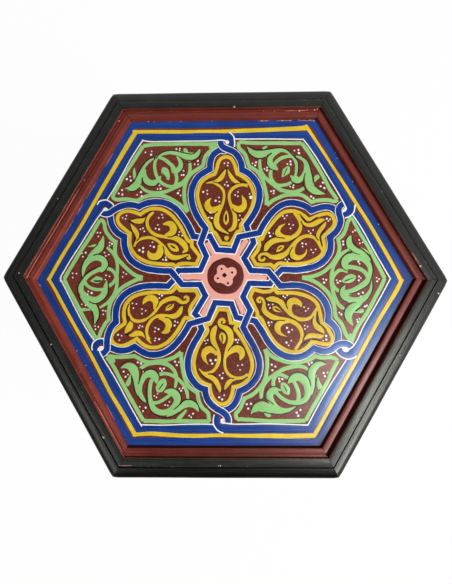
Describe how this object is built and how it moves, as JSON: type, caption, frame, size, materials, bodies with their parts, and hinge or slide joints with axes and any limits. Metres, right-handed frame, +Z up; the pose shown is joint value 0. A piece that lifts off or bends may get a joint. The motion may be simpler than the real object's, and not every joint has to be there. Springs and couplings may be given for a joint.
{
  "type": "side table",
  "caption": "Hexagonal painted wooden side table: a panel framed by a moulded, mitred rim and bead, on mitred side boards pierced by pointed horseshoe arches.",
  "frame": {"origin": "on the floor, at the centre of the hexagon", "axes": "+Z up; two sides of the hexagon face +Y and -Y, two corners point along +X and -X; the picture's right is +X and its top is +Y"},
  "size_m": [0.4398, 0.381, 0.48],
  "materials": {
    "panel_paint": "dark red-brown gesso paint, under a traditional strapwork and arabesque design in blue, yellow, green, pink and white",
    "rim_paint": "satin green-black paint, rubbed along the arrises",
    "bead_paint": "satin oxblood paint, rubbed along the crown",
    "board_paint": "painted boards, dark red-brown with painted bands round the arch",
    "bare_wood": "bare sawn softwood",
    "screw_steel": "dull plated steel"
  },
  "bodies": {
    "root": {"top_panel": "panel_paint", "rim_rail_1": "rim_paint", "rim_rail_2": "rim_paint", "rim_rail_3": "rim_paint", "rim_rail_4": "rim_paint", "rim_rail_5": "rim_paint", "rim_rail_6": "rim_paint", "rim_bead_1": "bead_paint", "rim_bead_2": "bead_paint", "rim_bead_3": "bead_paint", "rim_bead_4": "bead_paint", "rim_bead_5": "bead_paint", "rim_bead_6": "bead_paint", "neck_moulding_1": "bead_paint", "neck_moulding_2": "bead_paint", "neck_moulding_3": "bead_paint", "neck_moulding_4": "bead_paint", "neck_moulding_5": "bead_paint", "neck_moulding_6": "bead_paint", "side_board_1": "board_paint", "side_board_2": "board_paint", "side_board_3": "board_paint", "side_board_4": "board_paint", "side_board_5": "board_paint", "side_board_6": "board_paint", "corner_post_1": "bare_wood", "corner_post_2": "bare_wood", "corner_post_3": "bare_wood", "corner_post_4": "bare_wood", "corner_post_5": "bare_wood", "corner_post_6": "bare_wood", "top_cleat_1": "bare_wood", "top_cleat_2": "bare_wood", "top_cleat_3": "bare_wood", "top_cleat_4": "bare_wood", "top_cleat_5": "bare_wood", "top_cleat_6": "bare_wood", "cleat_screw_1": "screw_steel", "cleat_screw_2": "screw_steel", "cleat_screw_3": "screw_steel", "cleat_screw_4": "screw_steel", "cleat_screw_5": "screw_steel", "cleat_screw_6": "screw_steel", "cleat_screw_7": "screw_steel", "cleat_screw_8": "screw_steel", "cleat_screw_9": "screw_steel", "cleat_screw_10": "screw_steel", "cleat_screw_11": "screw_steel", "cleat_screw_12": "screw_steel"}
  },
  "joints": []
}
